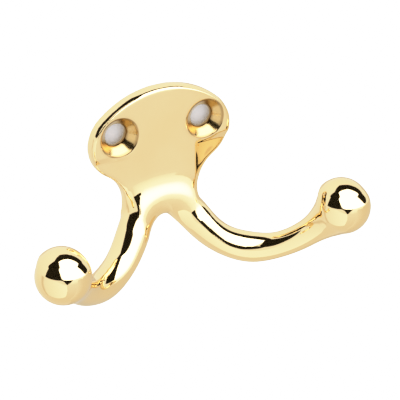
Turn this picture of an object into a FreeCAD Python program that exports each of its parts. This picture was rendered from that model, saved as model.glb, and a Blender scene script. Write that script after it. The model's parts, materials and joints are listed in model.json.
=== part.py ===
import FreeCAD, Part
import math
import os

import Sketcher

Vector = FreeCAD.Vector

# A double robe hook, cast in one piece of brass and polished.
# Frame: the origin lies midway between the two screw holes on the flat back, which is the plane Y = 0.
# +X is to the right seen from the front, -Y points out of the wall and +Z is up.

# Driving dimensions: lengths in millimetres and the countersink's angle in degrees
DIMENSIONS = (
    # Wall plate
    ("plate_thick", 3.3),
    ("plate_top", 9.9),
    ("shoulder_side", 9.1),
    ("shoulder_below", 2.2),
    ("shoulder_round", 8.55),
    ("neck_half", 9.2),
    ("neck_round", 9.0),
    ("foot_below", 20.4),
    ("foot_round", 3.4),
    ("edge_round", 2.0),
    ("face_cut", 0.75),
    # Countersunk screw holes
    ("screw_spacing", 21.7),
    ("bore_dia", 5.0),
    ("sink_dia", 9.6),
    ("sink_angle", 90),
    # Ramp from the plate's face to the front of the fork, at the middle and at its flanks
    ("ramp_head", 10.8),
    ("ramp_foot", 17.4),
    ("ramp_front", 5.65),
    ("flank_side", 9.5),
    ("flank_foot", 24.0),
    ("flank_front", 7.6),
    ("ramp_toe", 1.5),
    ("ramp_inset", 0.7),
    ("tail_half", 7.2),
    # Axis of one arm, from the crown of the fork to the ball
    ("fork_front", 1.9),
    ("fork_below", 17.9),
    ("fork_run", 4.8),
    ("leg_side", 9.8),
    ("leg_front", 4.5),
    ("leg_below", 28.4),
    ("bowl_side", 19.5),
    ("bowl_front", 10.6),
    ("bowl_below", 32.5),
    ("ball_side", 35.4),
    ("ball_front", 23.3),
    ("ball_below", 19.2),
    ("rise_inset", 6.7),
    ("rise_behind", 5.8),
    ("rise_drop", 9.4),
    # Sections of the fork and the arm
    ("crotch_depth", 3.4),
    ("crown_reach", 3.6),
    ("crown_thick", 3.6),
    ("root_depth", 3.8),
    ("root_reach", 3.9),
    ("root_thick", 3.35),
    ("leg_round", 3.75),
    ("leg_thick", 4.35),
    ("arm_round", 3.5),
    ("arm_thick", 4.4),
    ("bowl_round", 3.54),
    ("rise_round", 3.12),
    # Ball end
    ("ball_dia", 12.7),
    ("swell_round", 18.0),
)

# Shares of the arm's axis, from the crown of the fork to the ball's centre, where its sections stand
GUARD_AT = 0.04
ROOT_AT = 0.1
LEG_AT = 0.2
ARM_AT = 0.32
BOWL_AT = 0.5
RISE_AT = 0.6
# The axis runs straight into the ball over this share of the way back to its last bend.
LEAD_SHARE = 0.08
# The ramp's hollow takes this share of its two arcs.
HOLLOW_SHARE = 0.68
# Steps from the start of the swell to its end inside the ball, which lies at a share of the ball's radius
SWELL_STEPS = (0.0, 0.3, 0.55, 0.75, 0.88, 1.0)
SWELL_END = 0.55
SWELL_INSIDE_FROM = 0.6
SWELL_INSIDE_FIT = 0.97
SECTION_POINTS = 16
HALVINGS = 50
FLAT = 1e-6


def make_sheet(doc):
    """Keeps the driving dimensions as named cells."""
    sheet = doc.addObject("Spreadsheet::Sheet", "dims")
    for row, (name, value) in enumerate(DIMENSIONS, start=1):
        sheet.set(f"A{row}", name)
        sheet.set(f"B{row}", str(value))
        sheet.setAlias(f"B{row}", name)
    doc.recompute()
    return sheet


def origin_plane(body, role):
    """Finds one of the body's own origin planes."""
    for feature in body.Origin.OriginFeatures:
        if feature.Role == role:
            return feature
    raise RuntimeError(f"no {role} in {body.Label}")


def bind(constrained, index, name, cell):
    """Names a sketch constraint and ties it to a cell of the sheet."""
    constrained.renameConstraint(index, name)
    constrained.setExpression(f"Constraints.{name}", cell)


def around(centre, radius, angle):
    """A point on a circle in the sketch plane."""
    return Vector(centre.x + radius * math.cos(angle), centre.y + radius * math.sin(angle), 0)


def arc(centre, radius, first, last):
    """An arc that runs anticlockwise from the first angle to the last."""
    return Part.ArcOfCircle(Part.Circle(centre, Vector(0, 0, 1), radius), first, last)


def neck_hollow(dims):
    """Centre of the right neck hollow, and its turn down from the level where it meets the shoulder."""
    shoulder = Vector(dims.shoulder_side, -dims.shoulder_below, 0)
    reach = dims.shoulder_round + dims.neck_round
    turn = math.acos((dims.neck_half + dims.neck_round - shoulder.x) / reach)
    return around(shoulder, reach, -turn), turn


def plate_outline(body, dims):
    """Right half of the plate: crowned top, round shoulder, hollow neck side and rounded foot on the leg."""
    shoulder = Vector(dims.shoulder_side, -dims.shoulder_below, 0)
    rise = dims.plate_top - shoulder.y
    top_round = (shoulder.x ** 2 + rise ** 2 - dims.shoulder_round ** 2) / (2 * (rise - dims.shoulder_round))
    crown = Vector(0, dims.plate_top - top_round, 0)
    top_turn = math.atan2(shoulder.y - crown.y, shoulder.x)
    neck, neck_turn = neck_hollow(dims)
    foot_turn = math.asin((dims.foot_below + neck.y) / (dims.neck_round + dims.foot_round))
    foot = around(neck, dims.neck_round + dims.foot_round, math.pi + foot_turn)
    crotch = Vector(0, -dims.fork_below - dims.crotch_depth / 2, 0)
    to_crotch = crotch - foot
    sole_turn = math.atan2(to_crotch.y, to_crotch.x) + math.acos(dims.foot_round / to_crotch.Length)
    sole = around(foot, dims.foot_round, sole_turn)

    sketch = body.newObject("Sketcher::SketchObject", "plate_outline")
    sketch.AttachmentSupport = [(origin_plane(body, "XZ_Plane"), "")]
    sketch.MapMode = "FlatFace"
    top = sketch.addGeometry(arc(crown, top_round, top_turn, math.pi / 2))
    side = sketch.addGeometry(arc(shoulder, dims.shoulder_round, -neck_turn, top_turn))
    hollow = sketch.addGeometry(arc(neck, dims.neck_round, math.pi - neck_turn, math.pi + foot_turn))
    toe = sketch.addGeometry(arc(foot, dims.foot_round, sole_turn, 2 * math.pi + foot_turn))
    under = sketch.addGeometry(Part.LineSegment(sole, crotch))
    middle = sketch.addGeometry(Part.LineSegment(crotch, Vector(0, dims.plate_top, 0)))
    start, end, centre, axis = 1, 2, 3, -2
    for rule in (
        ("Tangent", top, start, side, end),
        ("Tangent", side, start, hollow, start),
        ("Tangent", hollow, end, toe, end),
        ("Tangent", toe, start, under, start),
        ("Coincident", under, end, middle, start),
        ("Coincident", middle, end, top, end),
        ("PointOnObject", middle, start, axis),
        ("PointOnObject", middle, end, axis),
        ("PointOnObject", top, centre, axis),
    ):
        sketch.addConstraint(Sketcher.Constraint(*rule))
    origin = -1
    for name, cell, rule in (
        ("top", "dims.plate_top", ("DistanceY", origin, 1, top, end, dims.plate_top)),
        ("shoulder_x", "dims.shoulder_side", ("DistanceX", origin, 1, side, centre, shoulder.x)),
        ("shoulder_z", "dims.shoulder_below", ("DistanceY", side, centre, origin, 1, -shoulder.y)),
        ("shoulder_r", "dims.shoulder_round", ("Radius", side, dims.shoulder_round)),
        ("neck_r", "dims.neck_round", ("Radius", hollow, dims.neck_round)),
        ("neck_x", "dims.neck_half + dims.neck_round", ("DistanceX", origin, 1, hollow, centre, neck.x)),
        ("foot_z", "dims.foot_below", ("DistanceY", toe, centre, origin, 1, dims.foot_below)),
        ("foot_r", "dims.foot_round", ("Radius", toe, dims.foot_round)),
        ("crotch_z", "dims.fork_below + dims.crotch_depth / 2",
         ("DistanceY", middle, start, origin, 1, -crotch.y)),
    ):
        bind(sketch, sketch.addConstraint(Sketcher.Constraint(*rule)), name, cell)
    return sketch


def hole_marks(body, dims):
    """Centres of the two screw holes, on the plane of the plate's front face."""
    sketch = body.newObject("Sketcher::SketchObject", "hole_marks")
    sketch.AttachmentSupport = [(origin_plane(body, "XZ_Plane"), "")]
    sketch.MapMode = "FlatFace"
    sketch.setExpression("AttachmentOffset.Base.z", "dims.plate_thick")
    half = dims.screw_spacing / 2
    for side, name in ((1, "right_hole"), (-1, "left_hole")):
        mark = sketch.addGeometry(
            Part.Circle(Vector(side * half, 0, 0), Vector(0, 0, 1), dims.bore_dia / 2))
        sketch.addConstraint(Sketcher.Constraint("PointOnObject", mark, 3, -1))
        ends = (-1, 1, mark, 3) if side > 0 else (mark, 3, -1, 1)
        bind(sketch, sketch.addConstraint(Sketcher.Constraint("DistanceX", *ends, half)),
             name, "dims.screw_spacing / 2")
        bind(sketch, sketch.addConstraint(Sketcher.Constraint("Diameter", mark, dims.bore_dia)),
             f"{name}_bore", "dims.bore_dia")
    return sketch


def make_plate(doc, dims):
    """Flat-backed plate with two countersunk holes, whose face is cut flat inside its rolled edge."""
    body = doc.addObject("PartDesign::Body", "wall_plate")
    pad = body.newObject("PartDesign::Pad", "plate_pad")
    pad.Profile = plate_outline(body, dims)
    pad.setExpression("Length", "dims.plate_thick + dims.face_cut")
    doc.recompute()

    whole = body.newObject("PartDesign::Mirrored", "plate_whole")
    whole.Originals = [pad]
    whole.MirrorPlane = (origin_plane(body, "YZ_Plane"), [""])
    body.Tip = whole
    doc.recompute()

    front = [
        f"Face{number}"
        for number, face in enumerate(whole.Shape.Faces, start=1)
        if abs(face.CenterOfMass.y + dims.plate_thick + dims.face_cut) < FLAT
    ]
    rolled = body.newObject("PartDesign::Fillet", "rolled_edge")
    rolled.Base = (whole, front)
    rolled.setExpression("Radius", "dims.edge_round")
    doc.recompute()

    holes = body.newObject("PartDesign::Hole", "screw_holes")
    holes.Profile = hole_marks(body, dims)
    doc.recompute()
    holes.ThreadType = "None"
    holes.DepthType = "ThroughAll"
    holes.HoleCutType = "Countersink"
    holes.setExpression("Diameter", "dims.bore_dia")
    holes.setExpression("HoleCutDiameter", "dims.sink_dia")
    holes.setExpression("HoleCutCountersinkAngle", "dims.sink_angle")
    doc.recompute()
    if holes.Shape.Volume >= rolled.Shape.Volume:
        raise RuntimeError("the screw holes cut nothing")

    span = dims.ball_side + dims.ball_below + dims.ball_dia
    plate = doc.addObject("Part::Cut", "faced_plate")
    plate.Base = body
    plate.Tool = trimming_box(
        doc, "front_space", (-span, -dims.plate_thick - span, -span), (2 * span, span, 2 * span))
    return plate


def ramp_profile(dims, side, foot_below, thick):
    """Profile of the ramp at one side of the middle: a hollow out of the plate's face, then a round nose."""
    out = thick - dims.plate_thick
    drop = foot_below - dims.ramp_head
    turn = 2 * math.atan2(out, drop)
    hollow = HOLLOW_SHARE * drop / math.sin(turn)
    nose = (1 - HOLLOW_SHARE) * drop / math.sin(turn)
    head = Vector(side, -dims.plate_thick, -dims.ramp_head)
    foot = Vector(side, -thick, -foot_below)
    hollow_middle = head - Vector(0, hollow * (1 - math.cos(turn / 2)), hollow * math.sin(turn / 2))
    bend = head - Vector(0, hollow * (1 - math.cos(turn)), hollow * math.sin(turn))
    nose_middle = foot + Vector(0, nose * (1 - math.cos(turn / 2)), nose * math.sin(turn / 2))
    toe = Vector(side, -thick / 2, foot.z - dims.ramp_toe)
    low = Vector(side, -dims.plate_thick / 2, toe.z)
    high = Vector(side, -dims.plate_thick / 2, head.z)
    return Part.Wire([
        Part.Arc(head, hollow_middle, bend).toShape(),
        Part.Arc(bend, nose_middle, foot).toShape(),
        Part.makeLine(foot, toe),
        Part.makeLine(toe, low),
        Part.makeLine(low, high),
        Part.makeLine(high, head),
    ])


def make_ramp(doc, dims):
    """Ramp that carries the plate's face forward to the fork, trimmed to the neck and the legs."""
    ramp = Part.makeLoft([
        ramp_profile(dims, -dims.flank_side, dims.flank_foot, dims.flank_front),
        ramp_profile(dims, 0, dims.ramp_foot, dims.ramp_front),
        ramp_profile(dims, dims.flank_side, dims.flank_foot, dims.flank_front),
    ], True, False)
    neck, _ = neck_hollow(dims)
    hollow_round = dims.neck_round + dims.ramp_inset
    waist = Vector(neck.x - hollow_round, 0, neck.y)
    tail = Vector(dims.tail_half, 0, -dims.flank_foot - dims.ramp_toe)
    out = Vector(0, -2 * dims.flank_front, 0)
    hollow = Part.makeCylinder(hollow_round, out.Length, Vector(neck.x, 0, neck.y), out)
    beside = Part.makePolygon([
        waist, tail, Vector(neck.x, 0, tail.z), Vector(neck.x, 0, waist.z), waist])
    trim = hollow.fuse(Part.Face(beside).extrude(out))
    feature = doc.addObject("Part::Feature", "neck_ramp")
    feature.Shape = ramp.cut([trim, trim.mirror(Vector(0, 0, 0), Vector(1, 0, 0))])
    return feature


def arm_axis(dims):
    """Axis of the right arm: level at the crown of the fork, down the leg, round the bowl, up to the ball."""
    crown = Vector(0, -dims.fork_front, -dims.fork_below)
    turn = Vector(dims.fork_run, -dims.fork_front, -dims.fork_below)
    leg = Vector(dims.leg_side, -dims.leg_front, -dims.leg_below)
    bowl = Vector(dims.bowl_side, -dims.bowl_front, -dims.bowl_below)
    ball = Vector(dims.ball_side, -dims.ball_front, -dims.ball_below)
    rise = ball + Vector(-dims.rise_inset, dims.rise_behind, -dims.rise_drop)
    lead = ball + (rise - ball) * LEAD_SHARE
    axis = Part.BSplineCurve()
    axis.buildFromPolesMultsKnots(
        [crown, turn, leg, bowl, rise, lead, ball], [4, 1, 1, 1, 4], [0, 0.25, 0.5, 0.75, 1], False, 3)
    return axis


def arm_section(axis, share, depth, reach, thick, side=1):
    """Closed oval section of the arm at a share of its axis.

    It spans depth towards the crotch and the wall, reach away from the crotch, and thick to the front.
    """
    centre = axis.value(share)
    along = Vector(*axis.tangent(share)[0]).normalize()
    outward = Vector(0, -1, 0)
    front = (outward - along * outward.dot(along)).normalize()
    away = front.cross(along)
    points = []
    for step in range(SECTION_POINTS):
        turn = 2 * math.pi * step / SECTION_POINTS
        across = reach if math.cos(turn) > 0 else depth
        bulge = thick if math.sin(turn) > 0 else depth
        point = centre + away * across * math.cos(turn) + front * bulge * math.sin(turn)
        points.append(Vector(side * point.x, point.y, point.z))
    loop = Part.BSplineCurve()
    loop.interpolate(points, PeriodicFlag=True)
    return Part.Wire([loop.toShape()])


def share_at(axis, ball, distance):
    """Share of the axis at a straight distance before the ball's centre."""
    low, high = 0.5, 1.0
    for _ in range(HALVINGS):
        middle = (low + high) / 2
        if axis.value(middle).distanceToPoint(ball) > distance:
            low = middle
        else:
            high = middle
    return low


def swell_start(dims):
    """Distance before the ball's centre where an arc that touches both the arm and the ball leaves the arm."""
    swell = dims.swell_round
    return math.sqrt((dims.ball_dia / 2 + swell) ** 2 - (dims.rise_round + swell) ** 2)


def swell_width(dims, distance):
    """Half width of the swelling arm at a distance before the ball's centre, kept within the ball."""
    run = swell_start(dims) - distance
    width = dims.rise_round + dims.swell_round - math.sqrt(dims.swell_round ** 2 - run ** 2)
    ball_round = dims.ball_dia / 2
    if distance > SWELL_INSIDE_FROM * ball_round:
        return width
    return min(width, SWELL_INSIDE_FIT * math.sqrt(ball_round ** 2 - distance ** 2))


def swell_sections(axis, dims):
    """Round sections where the arm swells into the ball."""
    ball = axis.value(1)
    first = swell_start(dims)
    last = SWELL_END * dims.ball_dia / 2
    sections = []
    for step in SWELL_STEPS:
        distance = first + step * (last - first)
        width = swell_width(dims, distance)
        sections.append(arm_section(axis, share_at(axis, ball, distance), width, width, width))
    return sections


def trimming_box(doc, name, corner, size):
    """A plain block, larger than the hook, that trims it at a plane."""
    box = doc.addObject("Part::Box", name)
    box.Length, box.Width, box.Height = size
    box.Placement.Base = Vector(*corner)
    return box


def make_yoke(doc, dims):
    """Both arms and the fork that joins them, lofted on the right and mirrored to the left."""
    axis = arm_axis(dims)
    crown = (dims.crotch_depth, dims.crown_reach, dims.crown_thick)
    root = (dims.root_depth, dims.root_reach, dims.root_thick)
    leg = (dims.leg_round, dims.leg_round, dims.leg_thick)
    arm = (dims.arm_round, dims.arm_round, dims.arm_thick)
    bowl = (dims.bowl_round, dims.bowl_round, dims.bowl_round)
    rise = (dims.rise_round, dims.rise_round, dims.rise_round)
    sections = [arm_section(axis, GUARD_AT, *crown, side=-1)]
    for share, sizes in (
        (0, crown), (ROOT_AT, root), (LEG_AT, leg), (ARM_AT, arm), (BOWL_AT, bowl), (RISE_AT, rise),
    ):
        sections.append(arm_section(axis, share, *sizes))
    sections += swell_sections(axis, dims)
    loft = doc.addObject("Part::Feature", "arm_loft")
    loft.Shape = Part.makeLoft(sections, True, False)

    span = dims.ball_side + dims.ball_below + dims.ball_dia
    right_arm = doc.addObject("Part::Common", "right_arm")
    right_arm.Base = loft
    right_arm.Tool = trimming_box(doc, "right_space", (0, -span, -span), (span, 2 * span, 2 * span))
    left_arm = doc.addObject("Part::Mirroring", "left_arm")
    left_arm.Source = right_arm
    left_arm.Base = Vector(0, 0, 0)
    left_arm.Normal = Vector(1, 0, 0)
    return [right_arm, left_arm]


def make_balls(doc):
    """The two ball ends."""
    balls = []
    for name, side in (("right_ball", ""), ("left_ball", "-")):
        ball = doc.addObject("Part::Sphere", name)
        ball.setExpression("Radius", "dims.ball_dia / 2")
        ball.setExpression("Placement.Base.x", f"{side}dims.ball_side")
        ball.setExpression("Placement.Base.y", "-dims.ball_front")
        ball.setExpression("Placement.Base.z", "-dims.ball_below")
        balls.append(ball)
    return balls


def make_casting(doc, pieces, dims):
    """Joins the plate, ramp, arms and balls, and trims them flush with the wall."""
    joined = doc.addObject("Part::MultiFuse", "joined")
    joined.Shapes = pieces
    span = dims.ball_side + dims.ball_below + dims.ball_dia
    casting = doc.addObject("Part::Cut", "casting")
    casting.Label = "hook_casting"
    casting.Base = joined
    casting.Tool = trimming_box(doc, "wall", (-span, 0, -span), (2 * span, span, 2 * span))
    casting.Refine = True
    return casting


def check(doc, casting):
    """Stops before anything is written if an object failed or the casting isn't one sound solid."""
    for item in doc.Objects:
        if "Invalid" in item.State or "Error" in item.State:
            raise RuntimeError(f"{item.Label} failed")
    shape = casting.Shape
    if shape.isNull() or not shape.isValid() or len(shape.Solids) != 1:
        raise RuntimeError("the casting isn't one valid solid")


def main():
    doc = FreeCAD.newDocument("double_robe_hook")
    dims = make_sheet(doc)
    pieces = [make_plate(doc, dims), make_ramp(doc, dims)]
    pieces += make_yoke(doc, dims)
    pieces += make_balls(doc)
    casting = make_casting(doc, pieces, dims)
    doc.recompute()
    check(doc, casting)
    os.makedirs("parts", exist_ok=True)
    casting.Shape.exportStep(f"parts/{casting.Label}.step")
    box = casting.Shape.BoundBox
    print(f"{casting.Label}: {box.XLength:.2f} x {box.YLength:.2f} x {box.ZLength:.2f} mm,",
          f"{casting.Shape.Volume:.0f} mm3, {len(casting.Shape.Faces)} faces")


main()
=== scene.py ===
import json
import math

import bmesh
import bpy
from mathutils import Matrix, Vector


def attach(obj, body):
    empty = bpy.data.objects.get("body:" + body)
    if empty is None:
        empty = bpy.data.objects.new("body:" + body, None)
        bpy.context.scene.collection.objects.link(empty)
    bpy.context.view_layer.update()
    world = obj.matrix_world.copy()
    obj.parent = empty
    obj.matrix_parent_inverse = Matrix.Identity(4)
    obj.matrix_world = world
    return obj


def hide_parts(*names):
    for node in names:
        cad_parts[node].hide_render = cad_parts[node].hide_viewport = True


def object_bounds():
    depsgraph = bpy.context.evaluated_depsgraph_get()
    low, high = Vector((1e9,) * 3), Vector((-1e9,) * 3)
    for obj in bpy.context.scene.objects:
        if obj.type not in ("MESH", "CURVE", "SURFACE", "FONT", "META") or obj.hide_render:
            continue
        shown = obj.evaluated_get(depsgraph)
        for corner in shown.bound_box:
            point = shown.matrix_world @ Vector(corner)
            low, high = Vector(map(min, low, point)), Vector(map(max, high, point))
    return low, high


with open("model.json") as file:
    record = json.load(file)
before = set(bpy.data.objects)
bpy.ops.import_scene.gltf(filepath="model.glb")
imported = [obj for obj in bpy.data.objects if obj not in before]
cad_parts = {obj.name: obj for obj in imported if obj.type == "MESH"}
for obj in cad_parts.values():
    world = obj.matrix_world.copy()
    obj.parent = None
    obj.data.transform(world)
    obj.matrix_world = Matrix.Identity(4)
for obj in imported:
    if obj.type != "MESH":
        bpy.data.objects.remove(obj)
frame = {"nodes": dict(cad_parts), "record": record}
cad_low, cad_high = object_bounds()

bl_info = {
    "name": "Double Robe Hook",
    "version": (1, 0, 0),
    "blender": (4, 5, 0),
    "location": "View3D > Sidebar > Robe Hook",
    "description": "A cast and polished brass double robe hook in a white light tent",
    "category": "Object",
}

NODE = "hook_casting"
BODY = "root"
MM = 0.001
MERGE_GAP = 0.001 * MM


def fastening(name):
    """One of the record's mounts, which give the places that the finish follows."""
    for mount in frame["record"]["mounts"]:
        if mount["name"] == name:
            return mount
    raise RuntimeError(f"the record has no mount named {name}")


# The screw holes, and the distance from a hole's axis that is clear of its countersink
HOLES = fastening("screw_holes")["dims"]
HOLE_SIDE = HOLES["spacing_x_mm"] / 2 * MM
BORE_ROUND = HOLES["hole_r_mm"] * MM
SINK_CLEAR = 2.15 * BORE_ROUND

# The wall plate's thickness, and a depth just in front of its face
PLATE_THICK = 3.3 * MM
PLATE_FRONT = 1.05 * PLATE_THICK


class CastingSettings(bpy.types.PropertyGroup):
    """How the casting is evened, eased and polished"""
    grain: bpy.props.FloatProperty(
        name="Mesh Grain", description="Edge length of the evened mesh",
        default=0.27 * MM, min=0.1 * MM, unit="LENGTH")
    polish_passes: bpy.props.IntProperty(
        name="Polish Passes", description="How often the whole surface is eased, which rounds its edges",
        default=8, min=0)
    edge_passes: bpy.props.IntProperty(
        name="Edge Passes", description="How often the surface away from the screw holes is eased further",
        default=6, min=0)
    fork_hub: bpy.props.FloatVectorProperty(
        name="Fork Hub", description="Middle of the fork, where the neck and the arms are blended",
        default=(0, -5.5 * MM, -17.5 * MM), subtype="TRANSLATION")
    fork_span: bpy.props.FloatVectorProperty(
        name="Fork Span", description="Half widths of the rounded space that is blended at the fork",
        default=(13 * MM, 4.2 * MM, 8.5 * MM), subtype="TRANSLATION")
    fork_passes: bpy.props.IntProperty(
        name="Fork Passes", description="How often the fork is eased", default=220, min=0)
    fork_shrink: bpy.props.FloatProperty(
        name="Fork Shrink", description="Share of the blended space that the last passes leave out",
        default=0.5, min=0, max=1, subtype="FACTOR")
    rim_tilt: bpy.props.FloatProperty(
        name="Rim Tilt", description="Angle of the polished flats on the upper rim to the plate's face",
        default=math.radians(61), subtype="ANGLE")
    rim_round: bpy.props.FloatProperty(
        name="Rim Round", description="Radius of the rim that the flats are cut on",
        default=2 * MM, unit="LENGTH")
    rim_cut: bpy.props.FloatProperty(
        name="Rim Cut", description="Depth of the flats in the rim's round",
        default=0.2 * MM, min=0, unit="LENGTH")
    rim_side: bpy.props.FloatProperty(
        name="Rim Side", description="Distance from the middle where the flats start",
        default=4.5 * MM, unit="LENGTH")
    rim_fade: bpy.props.FloatProperty(
        name="Rim Fade", description="Length in which the flats gain their depth from each end",
        default=3 * MM, unit="LENGTH")
    flank_side: bpy.props.FloatProperty(
        name="Flank Side", description="Distance from the middle where the plate's flanks start to fall away",
        default=8.1 * MM, unit="LENGTH")
    flank_top: bpy.props.FloatProperty(
        name="Flank Top", description="Height of the flanks' upper end, at the foot of the countersinks",
        default=-4 * MM, unit="LENGTH")
    flank_foot: bpy.props.FloatProperty(
        name="Flank Foot", description="Height of the flanks' lower end, at the neck",
        default=-17 * MM, unit="LENGTH")
    flank_fade: bpy.props.FloatProperty(
        name="Flank Fade", description="Height over which the flanks gain and lose their fall",
        default=1.8 * MM, unit="LENGTH")
    flank_slope: bpy.props.FloatProperty(
        name="Flank Slope", description="Angle of the flanks to the plate's face",
        default=math.radians(12.5), subtype="ANGLE")
    flank_fall: bpy.props.FloatProperty(
        name="Flank Fall", description="Most that the flanks fall away from the plate's face",
        default=0.9 * MM, unit="LENGTH")


class BrassSettings(bpy.types.PropertyGroup):
    """Colours and finish of the brass"""
    tint: bpy.props.FloatVectorProperty(
        name="Brass", description="Colour of the polished metal",
        default=(0.895, 0.69, 0.375), min=0, max=1, subtype="COLOR")
    deep_tint: bpy.props.FloatVectorProperty(
        name="Deep Brass", description="Colour of the metal where the casting's tone is deeper",
        default=(0.885, 0.672, 0.352), min=0, max=1, subtype="COLOR")
    # Darker brass in the countersinks: painted shade for these recesses, while their turned finish is only
    # their roughness and rings
    sink_shade_tint: bpy.props.FloatVectorProperty(
        name="Countersink Brass", description="Colour of the turned metal in the countersinks",
        default=(0.62, 0.43, 0.18), min=0, max=1, subtype="COLOR")
    # Dark brass in the bores, partly their drilled metal and partly painted shade, and painted shade along
    # the countersinks' rims
    bore_shade_tint: bpy.props.FloatVectorProperty(
        name="Bore Brass",
        description="Colour of the drilled metal in the bores and on the countersinks' rims",
        default=(0.3, 0.19, 0.08), min=0, max=1, subtype="COLOR")
    gloss: bpy.props.FloatProperty(
        name="Roughness", description="Blur of the mirror polish",
        default=0.03, min=0, max=1, subtype="FACTOR")
    haze: bpy.props.FloatProperty(
        name="Haze", description="Most that the polish is blurred further in patches",
        default=0.02, min=0, max=1, subtype="FACTOR")
    sink_gloss: bpy.props.FloatProperty(
        name="Countersink Roughness", description="Blur of the turned metal in the countersinks",
        default=0.14, min=0, max=1, subtype="FACTOR")
    sink_mouth: bpy.props.FloatProperty(
        name="Countersink Mouth", description="Diameter of a countersink at the plate's face",
        default=9.6 * MM, unit="LENGTH")
    ripple: bpy.props.FloatProperty(
        name="Polishing Ripple", description="Height of the soft waves that hand polishing leaves",
        default=0.004 * MM, min=0, unit="LENGTH")
    ring: bpy.props.FloatProperty(
        name="Turning Rings", description="Height of the tool's rings in the countersinks",
        default=0.002 * MM, min=0, unit="LENGTH")
    ring_pitch: bpy.props.FloatProperty(
        name="Ring Pitch", description="Distance between the tool's rings",
        default=0.22 * MM, min=0.01 * MM, unit="LENGTH")


class StudioSettings(bpy.types.PropertyGroup):
    """The camera, the floor and the light tent"""
    azimuth: bpy.props.FloatProperty(
        name="View Azimuth", description="Angle of the camera to the left of the hook's front",
        default=math.radians(29.08), subtype="ANGLE")
    elevation: bpy.props.FloatProperty(
        name="View Elevation", description="Angle of the camera above the hook",
        default=math.radians(26.03), subtype="ANGLE")
    distance: bpy.props.FloatProperty(
        name="View Distance", description="Distance from the camera to the point it looks at",
        default=639 * MM, unit="LENGTH")
    target: bpy.props.FloatVectorProperty(
        name="View Target", description="Point that the camera looks at",
        default=(2.75 * MM, -15.33 * MM, -13.3 * MM), subtype="TRANSLATION")
    lens: bpy.props.FloatProperty(
        name="Lens", description="Focal length of the camera", default=258.3, unit="CAMERA")
    floor_drop: bpy.props.FloatProperty(
        name="Floor Drop", description="Height of the hook above the floor",
        default=120 * MM, unit="LENGTH")
    floor_light: bpy.props.FloatProperty(
        name="Floor Light", description="Brightness of the light on the floor", default=2.2, min=0)
    floor_tint: bpy.props.FloatVectorProperty(
        name="Floor", description="Colour of the floor's paper",
        default=(0.95, 0.95, 0.95), min=0, max=1, subtype="COLOR")
    # Grey of the paper behind the screw holes, a painted shadow seen through the bores
    hole_shadow_tint: bpy.props.FloatVectorProperty(
        name="Hole Paper", description="Colour of the paper that shows through the screw holes",
        default=(0.5, 0.49, 0.5), min=0, max=1, subtype="COLOR")
    hole_gap: bpy.props.FloatProperty(
        name="Hole Gap", description="Distance of that paper behind the plate",
        default=0.8 * MM, unit="LENGTH")
    tent: bpy.props.FloatProperty(
        name="Tent Light", description="Brightness of the tent that the polish mirrors", default=1.06, min=0)
    tent_fall: bpy.props.FloatProperty(
        name="Tent Fall", description="Loss of light from the middle of the tent to its floor",
        default=0.16, min=0)


def outward(azimuth, elevation):
    """Direction from the hook, with the azimuth to the right of its front."""
    return Vector((
        math.sin(azimuth) * math.cos(elevation),
        -math.cos(azimuth) * math.cos(elevation),
        math.sin(elevation),
    ))


def opaque(tint):
    """A colour with full cover, as colour sockets take it."""
    return (*tint, 1)


class Graph:
    """Adds linked nodes to a material."""

    def __init__(self, material):
        material.use_nodes = True
        self.tree = material.node_tree
        self.shader = self.tree.nodes["Principled BSDF"]

    def node(self, kind, inputs=None, **settings):
        """A new node, whose inputs are plain values or the outputs of other nodes."""
        node = self.tree.nodes.new(kind)
        for name, value in settings.items():
            setattr(node, name, value)
        for name, value in (inputs or {}).items():
            self.feed(node.inputs[name], value)
        return node

    def feed(self, socket, value):
        """Link an output to a socket, or set the socket's plain value."""
        if isinstance(value, bpy.types.NodeSocket):
            self.tree.links.new(value, socket)
        else:
            socket.default_value = value

    def dress(self, looks):
        """Feed the shader's named sockets."""
        for name, value in looks.items():
            self.feed(self.shader.inputs[name], value)

    def matt(self, tint):
        """Make the material a matt sheet of one colour."""
        self.dress({"Base Color": opaque(tint), "Roughness": 1, "Specular IOR Level": 0})

    def math(self, operation, *values):
        """The result of one sum on numbers."""
        return self.node("ShaderNodeMath", dict(enumerate(values)), operation=operation).outputs[0]

    def ramp(self, value, low, high, start=0.0, end=1.0):
        """A smooth change from one number to another while a value goes from low to high."""
        inputs = {"Value": value, "From Min": low, "From Max": high, "To Min": start, "To Max": end}
        return self.node("ShaderNodeMapRange", inputs, interpolation_type="SMOOTHSTEP").outputs[0]

    def mix(self, share, first, second):
        """A colour between two colours."""
        inputs = {"Factor": share, 6: first, 7: second}
        return self.node("ShaderNodeMix", inputs, data_type="RGBA").outputs[2]

    def noise(self, place, scale, detail):
        """A soft random pattern."""
        inputs = {"Vector": place, "Scale": scale, "Detail": detail}
        return self.node("ShaderNodeTexNoise", inputs).outputs["Fac"]


# The brass round a hole: its soft borders, its dark bands of painted shade along the countersinks' rims and
# in the bores, and the depths where the countersink's finish and painted shade end
SOFT_BORDER = 0.12 * MM
DARK_BAND = 6 * SOFT_BORDER
SINK_END = (-0.7 * MM, -0.4 * MM)
RIM_SHADE = 0.75

# The brass's patterns: scale and detail, and the values between which a pattern goes from none to full
TONE = (90.0, 2.0)
TONE_SPREAD = (0.35, 0.7)
HAZE = (420.0, 3.0)
HAZE_SPREAD = (0.3, 0.8)
RIPPLE = (260.0, 1.0)


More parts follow.
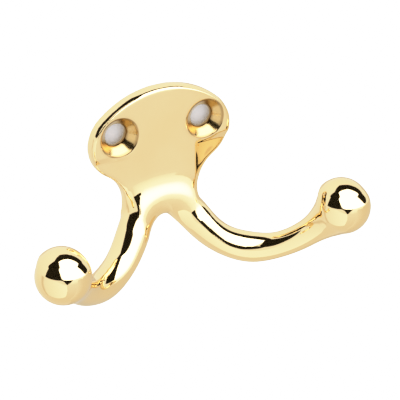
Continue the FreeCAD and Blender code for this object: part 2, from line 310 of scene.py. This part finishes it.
def brass_material(settings):
    """Polished brass with a soft tone, hand ripples, turned countersinks and drilled bores; the countersinks'
    darker brass, the dark rings along their rims and part of the bores' darkness are painted shade.
    """
    material = bpy.data.materials.new("polished_brass")
    graph = Graph(material)
    place = graph.node("ShaderNodeTexCoord").outputs["Object"]
    axes = graph.node("ShaderNodeSeparateXYZ", {"Vector": place}).outputs
    beside = graph.math("SUBTRACT", graph.math("ABSOLUTE", axes["X"]), HOLE_SIDE)
    squares = [graph.math("MULTIPLY", length, length) for length in (beside, axes["Z"])]
    off_axis = graph.math("SQRT", graph.math("ADD", *squares))
    mouth = settings.sink_mouth / 2
    front = graph.ramp(axes["Y"], *SINK_END, 1, 0)
    inside = graph.ramp(off_axis, mouth - SOFT_BORDER, mouth + SOFT_BORDER, 1, 0)
    sink = graph.math("MULTIPLY", front, inside)
    # A dark ring of painted shade along each countersink's rim, and the bores darkened partly as drilled
    # metal and partly by painted shade
    rim = graph.math("MULTIPLY", sink, graph.ramp(off_axis, mouth - DARK_BAND, mouth - 2 * SOFT_BORDER))
    bore = graph.ramp(off_axis, BORE_ROUND + SOFT_BORDER, BORE_ROUND + DARK_BAND, 1, 0)

    deep = graph.ramp(graph.noise(place, *TONE), *TONE_SPREAD)
    polished = graph.mix(deep, opaque(settings.tint), opaque(settings.deep_tint))
    # The countersinks take the darker brass, a painted shade in the recesses
    turned_and_shaded = graph.mix(sink, polished, opaque(settings.sink_shade_tint))
    # The bores and the countersinks' rims take the dark brass: painted shade, in the bores also their drilled
    # metal
    dark = graph.math("MAXIMUM", bore, graph.math("MULTIPLY", rim, RIM_SHADE))
    drilled_and_shaded = graph.mix(dark, turned_and_shaded, opaque(settings.bore_shade_tint))
    smear = graph.ramp(
        graph.noise(place, *HAZE), *HAZE_SPREAD, settings.gloss, settings.gloss + settings.haze)
    blur = graph.math("MAXIMUM", smear, graph.math("MULTIPLY", sink, settings.sink_gloss))

    rings = graph.math("SINE", graph.math("MULTIPLY", off_axis, 2 * math.pi / settings.ring_pitch))
    tool_marks = graph.math("MULTIPLY", graph.math("MULTIPLY", rings, sink), settings.ring)
    waves = graph.math("MULTIPLY", graph.noise(place, *RIPPLE), settings.ripple)
    height = graph.math("ADD", waves, tool_marks)
    bump = graph.node("ShaderNodeBump", {"Height": height, "Strength": 1.0, "Distance": 1.0})
    graph.dress({
        "Base Color": drilled_and_shaded,
        "Metallic": 1.0,
        "Roughness": blur,
        "Normal": bump.outputs["Normal"],
    })
    return material


def ease(shape, verts):
    """Draw vertices halfway to the mean of their neighbours."""
    bmesh.ops.smooth_vert(
        shape, verts=verts, factor=0.5, use_axis_x=True, use_axis_y=True, use_axis_z=True)


def off_hole(place):
    """Distance of a place from the axis of the nearer screw hole."""
    return math.hypot(abs(place.x) - HOLE_SIDE, place.z)


def polish(shape, settings):
    """Ease the whole surface, and further where it is clear of the countersinks."""
    for _ in range(settings.polish_passes):
        ease(shape, shape.verts)
    open_surface = [vert for vert in shape.verts if off_hole(vert.co) > SINK_CLEAR]
    for _ in range(settings.edge_passes):
        ease(shape, open_surface)


def blend_fork(shape, settings):
    """Ease the surface within a rounded space at the fork, most at its hub."""
    hub = Vector(settings.fork_hub)
    places = []
    for vert in shape.verts:
        off = vert.co - hub
        spread = Vector((off[axis] / settings.fork_span[axis] for axis in range(3))).length_squared
        if spread < 1:
            places.append((spread, vert))
    for turn in range(settings.fork_passes):
        reach = 1 - settings.fork_shrink * turn / settings.fork_passes
        ease(shape, [vert for spread, vert in places if spread < reach])


def flatten_rim(shape, settings):
    """Cut two narrow flats on the plate's upper rim, as the polishing wheel leaves them."""
    shape.normal_update()
    for vert in shape.verts:
        place = vert.co
        facing = vert.normal
        fade = min(abs(place.x) - settings.rim_side, place.z) / settings.rim_fade
        outside = Vector((facing.x, 0, facing.z))
        if fade < 0 or place.y < -PLATE_FRONT or outside.dot(place) <= 0:
            continue
        off_tilt = math.acos(max(-1, min(1, -facing.y))) - settings.rim_tilt
        depth = settings.rim_cut - settings.rim_round * (1 - math.cos(off_tilt))
        if depth > 0 and off_hole(place) > SINK_CLEAR:
            flat = outside.normalized() * math.sin(settings.rim_tilt)
            flat.y = -math.cos(settings.rim_tilt)
            place -= flat * depth * min(1, fade)


def lower_flanks(shape, settings):
    """Let the plate's face fall away towards its lower edges, beside the neck."""
    middle = PLATE_THICK / 2
    rate = math.tan(settings.flank_slope) / settings.flank_fall
    for vert in shape.verts:
        place = vert.co
        aside = abs(place.x) - settings.flank_side
        proud = (-place.y - middle) / middle
        below = (settings.flank_top - place.z) / settings.flank_fade
        above = (place.z - settings.flank_foot) / settings.flank_fade
        if min(aside, proud, below, above) < 0:
            continue
        fall = settings.flank_fall * (1 - math.exp(-aside * rate))
        place.y += fall * min(1, proud) * min(1, below) * min(1, above)


class ROBE_HOOK_OT_casting(bpy.types.Operator):
    """Even and polish the cast solid, and give it its brass finish"""
    bl_idname = "robe_hook.casting"
    bl_label = "Polished Casting"

    def execute(self, context):
        settings = context.scene.robe_hook_casting
        node = frame["nodes"][NODE]
        shape = bmesh.new()
        shape.from_mesh(node.data)
        bmesh.ops.remove_doubles(shape, verts=shape.verts, dist=MERGE_GAP)
        mesh = bpy.data.meshes.new("polished_hook")
        shape.to_mesh(mesh)
        shape.free()
        mesh.materials.clear()
        piece = bpy.data.objects.new("polished_hook", mesh)
        context.scene.collection.objects.link(piece)
        evened = piece.modifiers.new("evened", "REMESH")
        evened.mode = "VOXEL"
        evened.voxel_size = settings.grain
        evened.adaptivity = 0
        even = bpy.data.meshes.new_from_object(piece.evaluated_get(context.evaluated_depsgraph_get()))
        piece.modifiers.clear()
        shape = bmesh.new()
        shape.from_mesh(even)
        bpy.data.meshes.remove(even)
        polish(shape, settings)
        blend_fork(shape, settings)
        flatten_rim(shape, settings)
        lower_flanks(shape, settings)
        for face in shape.faces:
            face.smooth = True
        shape.to_mesh(mesh)
        shape.free()
        mesh.materials.append(brass_material(context.scene.robe_hook_brass))
        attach(piece, BODY)
        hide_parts(NODE)
        return {"FINISHED"}


def stage_piece(scene, name, shape, material):
    """Make a stage object of a shape."""
    mesh = bpy.data.meshes.new(name)
    shape.to_mesh(mesh)
    shape.free()
    mesh.materials.append(material)
    piece = bpy.data.objects.new(name, mesh)
    scene.collection.objects.link(piece)
    return piece


# Half the floor's width, in metres
FLOOR_HALF = 3


def lay_floor(scene, settings):
    """A pale floor, which the polish doesn't mirror because the tent stands in for it there."""
    paper = bpy.data.materials.new("pale_paper")
    Graph(paper).matt(settings.floor_tint)
    shape = bmesh.new()
    bmesh.ops.create_grid(shape, x_segments=1, y_segments=1, size=FLOOR_HALF)
    bmesh.ops.translate(shape, verts=shape.verts, vec=(0, 0, cad_low.z - settings.floor_drop))
    stage_piece(scene, "floor", shape, paper).visible_glossy = False


# Radius of the papers, which are wider than the bores
PAPER_ROUND = 1.35 * BORE_ROUND


def back_holes(scene, settings):
    """A grey paper behind each screw hole, a painted shadow seen through the bores, which is clear from
    behind.
    """
    tag = bpy.data.materials.new("painted_shadow_paper")
    graph = Graph(tag)
    # The paper's grey is a painted shadow
    graph.matt(settings.hole_shadow_tint)
    behind = graph.node("ShaderNodeNewGeometry").outputs["Backfacing"]
    graph.dress({"Alpha": graph.math("SUBTRACT", 1, behind)})
    shape = bmesh.new()
    for side in (-HOLE_SIDE, HOLE_SIDE):
        disc = bmesh.ops.create_circle(shape, cap_ends=True, segments=32, radius=PAPER_ROUND)
        bmesh.ops.rotate(shape, verts=disc["verts"], matrix=Matrix.Rotation(math.pi / 2, 3, "X"))
        bmesh.ops.translate(shape, verts=disc["verts"], vec=(side, settings.hole_gap, 0))
    papers = stage_piece(scene, "painted_shadow_discs", shape, tag)
    papers.visible_glossy = False
    papers.visible_shadow = False


# The tent and its cards: distances in metres, and the glows between which a sheet turns from warm to white
TENT_DISTANCE = 1.7
CARD_DISTANCE = 1.5
WARM_GLOW = 0.8
WHITE_GLOW = 1.1
WARM_TINT = (1, 0.95, 0.83)
WHITE_TINT = (1, 1, 1)
SHEET_TINT = (0.008, 0.007, 0.005)


def glowing_material(name):
    """A dull sheet that gives the light of its own glow values, warmer where it is dim."""
    material = bpy.data.materials.new(name)
    graph = Graph(material)
    graph.matt(SHEET_TINT)
    light = graph.node("ShaderNodeAttribute", attribute_name="glow").outputs["Fac"]
    white = graph.ramp(light, WARM_GLOW, WHITE_GLOW)
    warmth = graph.mix(white, opaque(WARM_TINT), opaque(WHITE_TINT))
    graph.dress({"Emission Color": warmth, "Emission Strength": light})
    return material


def mirrored_only(piece):
    """Let the polish mirror a stage piece, and nothing else see it."""
    piece.visible_camera = False
    piece.visible_diffuse = False
    piece.visible_shadow = False


def card(scene, name, rows):
    """A sheet around the hook, given by rows of light, azimuth and elevation."""
    shape = bmesh.new()
    glow = shape.verts.layers.float.new("glow")
    grid = []
    for row in rows:
        line = []
        for light, azimuth, elevation in row:
            way = outward(math.radians(azimuth), math.radians(elevation))
            vert = shape.verts.new(way * CARD_DISTANCE)
            vert[glow] = light
            line.append(vert)
        grid.append(line)
    for low, high in zip(grid, grid[1:]):
        for left in range(len(low) - 1):
            shape.faces.new((low[left], low[left + 1], high[left + 1], high[left]))
    bmesh.ops.subdivide_edges(shape, edges=shape.edges, cuts=3, use_grid_fill=True)
    mirrored_only(stage_piece(scene, name, shape, glowing_material(name)))


def tent_walls(scene, settings):
    """The white tent that the polish mirrors, which loses light towards its floor."""
    shape = bmesh.new()
    bmesh.ops.create_uvsphere(shape, u_segments=48, v_segments=24, radius=TENT_DISTANCE)
    glow = shape.verts.layers.float.new("glow")
    for vert in shape.verts:
        vert[glow] = settings.tent + settings.tent_fall * vert.co.z / TENT_DISTANCE
    mirrored_only(stage_piece(scene, "tent_walls", shape, glowing_material("tent_walls")))


def lit(light, *places):
    """A row of a card with the same light all along."""
    return [(light, azimuth, elevation) for azimuth, elevation in places]


# Each card's rows: its light, and its places as degrees to the right of the hook's front and above it
DARK = 0.0
WINDOW = 4.0
CARDS = {
    "window": (
        lit(1.1, (-16, -4), (-6, -6), (10, -10), (32, -10), (60, -10), (75, -8)),
        lit(1.5, (-22, 20), (-10, 13), (8, 7), (32, 7), (60, 8), (75, 9)),
        lit(2.6, (-24, 26), (-9, 19), (8, 14), (32, 14), (60, 16), (75, 17)),
        lit(WINDOW, (-24, 32), (-8, 27), (8, 22), (32, 22), (60, 24), (75, 25)),
        lit(WINDOW, (-40, 62), (-30, 60), (0, 58), (32, 54), (56, 50), (75, 46)),
        lit(WINDOW, (-66, 75), (-36, 84), (34, 84), (60, 78), (75, 72), (76, 67)),
    ),
    "dark_left": (
        lit(DARK, (-104, 18), (-80, 17), (-53, 18), (-34, 20)),
        lit(DARK, (-104, 40), (-80, 42), (-53, 40), (-30, 31)),
        lit(DARK, (-108, 66), (-100, 72), (-80, 76), (-60, 74)),
    ),
    "dark_tip": (
        lit(DARK, (-36, 20), (-28, 10), (-13, -9), (10, 5)),
        lit(DARK, (-28, 31), (-14, 22), (6, 12), (17, 9)),
    ),
    "dark_top": (
        lit(DARK, (-108, 66), (-150, 72), (160, 66), (118, 54), (104, 36), (98, 15)),
        lit(DARK, (-66, 74), (-38, 83), (36, 83), (75, 67), (77, 45), (76, 18)),
    ),
    "bounce": (
        lit(1.04, (-122, 8), (-122, -25), (-124, -54)),
        lit(0.76, (-112, 8), (-112, -25), (-112, -53)),
        lit(1.06, (-104, 8), (-104, -25), (-104, -52)),
        lit(1.22, (-60, 8), (-58, -30), (-60, -66)),
        lit(1.36, (-14, -10), (-12, -32), (-18, -60)),
    ),
    "shade": (
        lit(1.0, (28, 0), (28, -40), (28, -75)),
        lit(0.88, (55, 0), (55, -40), (55, -75)),
        lit(0.82, (100, 0), (100, -40), (100, -75)),
        lit(0.68, (140, 4), (145, -30), (150, -60)),
        lit(0.9, (180, 6), (185, -30), (190, -60)),
    ),
}


def light_floor(scene, settings):
    """An even white light on the floor."""
    world = bpy.data.worlds.new("tent")
    world.use_nodes = True
    sky = world.node_tree.nodes["Background"].inputs
    sky["Color"].default_value = opaque(WHITE_TINT)
    sky["Strength"].default_value = settings.floor_light
    scene.world = world


def place_camera(scene, settings):
    """The camera at the photograph's viewing angle."""
    back = outward(-settings.azimuth, settings.elevation)
    lens = bpy.data.cameras.new("camera")
    lens.lens = settings.lens
    lens.clip_start = 10 * MM
    camera = bpy.data.objects.new("camera", lens)
    camera.location = Vector(settings.target) + back * settings.distance
    camera.rotation_mode = "QUATERNION"
    camera.rotation_quaternion = back.to_track_quat("Z", "Y")
    scene.collection.objects.link(camera)
    scene.camera = camera


# How the picture is developed: the scene's light, and the light it is shown with, straight at first
SHOULDER = ((0.2, 0.2), (0.6, 0.6), (0.85, 0.82), (1.1, 0.915), (1.5, 0.98))
STRAIGHT_POINTS = 3
WHITE = 2.0
ALL_CHANNELS = 3


def develop(view):
    """Show the light as it is, with a soft shoulder towards white as a camera gives."""
    view.view_transform = "Standard"
    view.use_curve_mapping = True
    mapping = view.curve_mapping
    mapping.white_level = (WHITE, WHITE, WHITE)
    tones = mapping.curves[ALL_CHANNELS].points
    for light, shown in SHOULDER:
        tones.new(light / WHITE, shown)
    for tone in tones[:STRAIGHT_POINTS]:
        tone.handle_type = "VECTOR"
    mapping.update()


class ROBE_HOOK_OT_studio(bpy.types.Operator):
    """Set up the pale floor, the white tent with its window and dark openings, and the camera"""
    bl_idname = "robe_hook.studio"
    bl_label = "Studio"

    def execute(self, context):
        scene = context.scene
        settings = scene.robe_hook_studio
        lay_floor(scene, settings)
        back_holes(scene, settings)
        light_floor(scene, settings)
        tent_walls(scene, settings)
        for name, rows in CARDS.items():
            card(scene, name, rows)
        place_camera(scene, settings)
        develop(scene.view_settings)
        return {"FINISHED"}


class ROBE_HOOK_PT_panel(bpy.types.Panel):
    """Lists the hook's operators and settings"""
    bl_label = "Robe Hook"
    bl_idname = "ROBE_HOOK_PT_panel"
    bl_space_type = "VIEW_3D"
    bl_region_type = "UI"
    bl_category = "Robe Hook"

    def draw(self, context):
        for operator in OPERATORS:
            self.layout.operator(operator.bl_idname)
        for name, group in GROUPS.items():
            box = self.layout.box()
            for setting in group.__annotations__:
                box.prop(getattr(context.scene, name), setting)


OPERATORS = (ROBE_HOOK_OT_casting, ROBE_HOOK_OT_studio)
GROUPS = {
    "robe_hook_casting": CastingSettings,
    "robe_hook_brass": BrassSettings,
    "robe_hook_studio": StudioSettings,
}


def register():
    for name, group in GROUPS.items():
        bpy.utils.register_class(group)
        setattr(bpy.types.Scene, name, bpy.props.PointerProperty(type=group))
    for operator in OPERATORS:
        bpy.utils.register_class(operator)
    bpy.utils.register_class(ROBE_HOOK_PT_panel)


def unregister():
    bpy.utils.unregister_class(ROBE_HOOK_PT_panel)
    for operator in reversed(OPERATORS):
        bpy.utils.unregister_class(operator)
    for name, group in GROUPS.items():
        delattr(bpy.types.Scene, name)
        bpy.utils.unregister_class(group)


def main():
    register()
    bpy.ops.robe_hook.casting()
    bpy.ops.robe_hook.studio()


if __name__ == "__main__":
    main()
